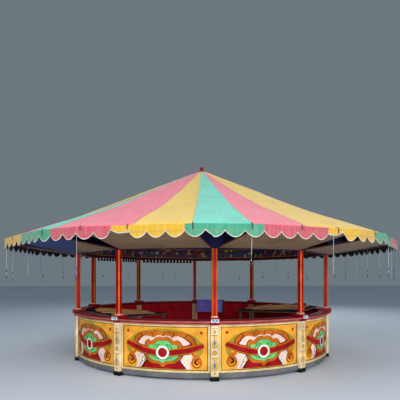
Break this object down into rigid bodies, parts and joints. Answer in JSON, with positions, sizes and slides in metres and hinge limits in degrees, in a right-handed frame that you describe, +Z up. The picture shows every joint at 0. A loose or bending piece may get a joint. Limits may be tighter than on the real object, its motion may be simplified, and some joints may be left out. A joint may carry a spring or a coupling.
{
  "type": "round fairground stall",
  "caption": "Round fairground stall: round panelled counter, ten posts, flat lift-up shutters and a striped conical canvas roof with scalloped valance.",
  "frame": {"origin": "middle of the stall on the ground", "axes": "+Z up; a post stands on -Y"},
  "size_m": [7.1618, 7.293, 3.7869],
  "materials": {
    "post_paint": "gloss red enamel with orange-yellow lined arrises, on softwood",
    "panel_paint": "painted board: cream frame, gold field, scrolls and ribbons, varnished and worn",
    "rail_paint": "gloss crimson moulding with pale lines",
    "shutter_timber": "beige-brown boards inside, gloss red outside",
    "rafter_timber": "dark painted timber",
    "sill_paint": "grey paint, scuffed",
    "header_paint": "dark red and black paint with a band of coloured pattern",
    "hub_iron": "black iron",
    "finial_paint": "gloss red turned wood",
    "roof_canvas": "weathered cotton canvas gores in pink, yellow and mint green",
    "valance_canvas": "canvas with white bound scallops in pink, yellow and green",
    "line_cord": "thin white and dark twine",
    "shelf_timber": "dark boards with pale battens",
    "box_paint": "purple painted box, blue inside"
  },
  "bodies": {
    "stall": {"post_01": "post_paint", "post_02": "post_paint", "post_03": "post_paint", "post_04": "post_paint", "post_05": "post_paint", "post_06": "post_paint", "post_07": "post_paint", "post_08": "post_paint", "post_09": "post_paint", "post_10": "post_paint", "counter_panel_01": "panel_paint", "counter_panel_02": "panel_paint", "counter_panel_03": "panel_paint", "counter_panel_04": "panel_paint", "counter_panel_05": "panel_paint", "counter_panel_06": "panel_paint", "counter_panel_07": "panel_paint", "counter_panel_08": "panel_paint", "counter_panel_09": "panel_paint", "counter_panel_10": "panel_paint", "counter_rail_01": "rail_paint", "counter_rail_02": "rail_paint", "counter_rail_03": "rail_paint", "counter_rail_04": "rail_paint", "counter_rail_05": "rail_paint", "counter_rail_06": "rail_paint", "counter_rail_07": "rail_paint", "counter_rail_08": "rail_paint", "counter_rail_09": "rail_paint", "counter_rail_10": "rail_paint", "base_sill": "sill_paint", "header_ring": "header_paint", "rafter_01": "rafter_timber", "rafter_02": "rafter_timber", "rafter_03": "rafter_timber", "rafter_04": "rafter_timber", "rafter_05": "rafter_timber", "rafter_06": "rafter_timber", "rafter_07": "rafter_timber", "rafter_08": "rafter_timber", "rafter_09": "rafter_timber", "rafter_10": "rafter_timber", "crown_hub": "hub_iron", "finial": "finial_paint", "canopy": "roof_canvas", "valance": "valance_canvas", "hook_lines": "line_cord", "display_shelf_left": "shelf_timber", "display_shelf_right": "shelf_timber", "prize_box": "box_paint"},
    "shutter_leaf_01": {"shutter_01": "shutter_timber"},
    "shutter_leaf_02": {"shutter_02": "shutter_timber"},
    "shutter_leaf_03": {"shutter_03": "shutter_timber"},
    "shutter_leaf_04": {"shutter_04": "shutter_timber"},
    "shutter_leaf_05": {"shutter_05": "shutter_timber"},
    "shutter_leaf_06": {"shutter_06": "shutter_timber"},
    "shutter_leaf_07": {"shutter_07": "shutter_timber"},
    "shutter_leaf_08": {"shutter_08": "shutter_timber"},
    "shutter_leaf_09": {"shutter_09": "shutter_timber"},
    "shutter_leaf_10": {"shutter_10": "shutter_timber"}
  },
  "joints": [
    {"name": "shutter_hinge_01", "type": "hinge", "parent": "stall", "child": "shutter_leaf_01", "pos_m": [0.73317, -2.25647, 1.955], "axis": [0.9511, 0.309, 0], "range_deg": [0, 87.5]},
    {"name": "shutter_hinge_02", "type": "hinge", "parent": "stall", "child": "shutter_leaf_02", "pos_m": [1.91946, -1.39457, 1.955], "axis": [0.5878, 0.809, 0], "range_deg": [0, 87.5]},
    {"name": "shutter_hinge_03", "type": "hinge", "parent": "stall", "child": "shutter_leaf_03", "pos_m": [2.37259, 0, 1.955], "axis": [0, 1, 0], "range_deg": [0, 87.5]},
    {"name": "shutter_hinge_04", "type": "hinge", "parent": "stall", "child": "shutter_leaf_04", "pos_m": [1.91946, 1.39457, 1.955], "axis": [-0.5878, 0.809, 0], "range_deg": [0, 87.5]},
    {"name": "shutter_hinge_05", "type": "hinge", "parent": "stall", "child": "shutter_leaf_05", "pos_m": [0.73317, 2.25647, 1.955], "axis": [-0.9511, 0.309, 0], "range_deg": [0, 87.5]},
    {"name": "shutter_hinge_06", "type": "hinge", "parent": "stall", "child": "shutter_leaf_06", "pos_m": [-0.73317, 2.25647, 1.955], "axis": [-0.9511, -0.309, 0], "range_deg": [0, 87.5]},
    {"name": "shutter_hinge_07", "type": "hinge", "parent": "stall", "child": "shutter_leaf_07", "pos_m": [-1.91946, 1.39457, 1.955], "axis": [-0.5878, -0.809, 0], "range_deg": [0, 87.5]},
    {"name": "shutter_hinge_08", "type": "hinge", "parent": "stall", "child": "shutter_leaf_08", "pos_m": [-2.37259, 0, 1.955], "axis": [0, -1, 0], "range_deg": [0, 87.5]},
    {"name": "shutter_hinge_09", "type": "hinge", "parent": "stall", "child": "shutter_leaf_09", "pos_m": [-1.91946, -1.39457, 1.955], "axis": [0.5878, -0.809, 0], "range_deg": [0, 87.5]},
    {"name": "shutter_hinge_10", "type": "hinge", "parent": "stall", "child": "shutter_leaf_10", "pos_m": [-0.73317, -2.25647, 1.955], "axis": [0.9511, -0.309, 0], "range_deg": [0, 87.5]}
  ]
}
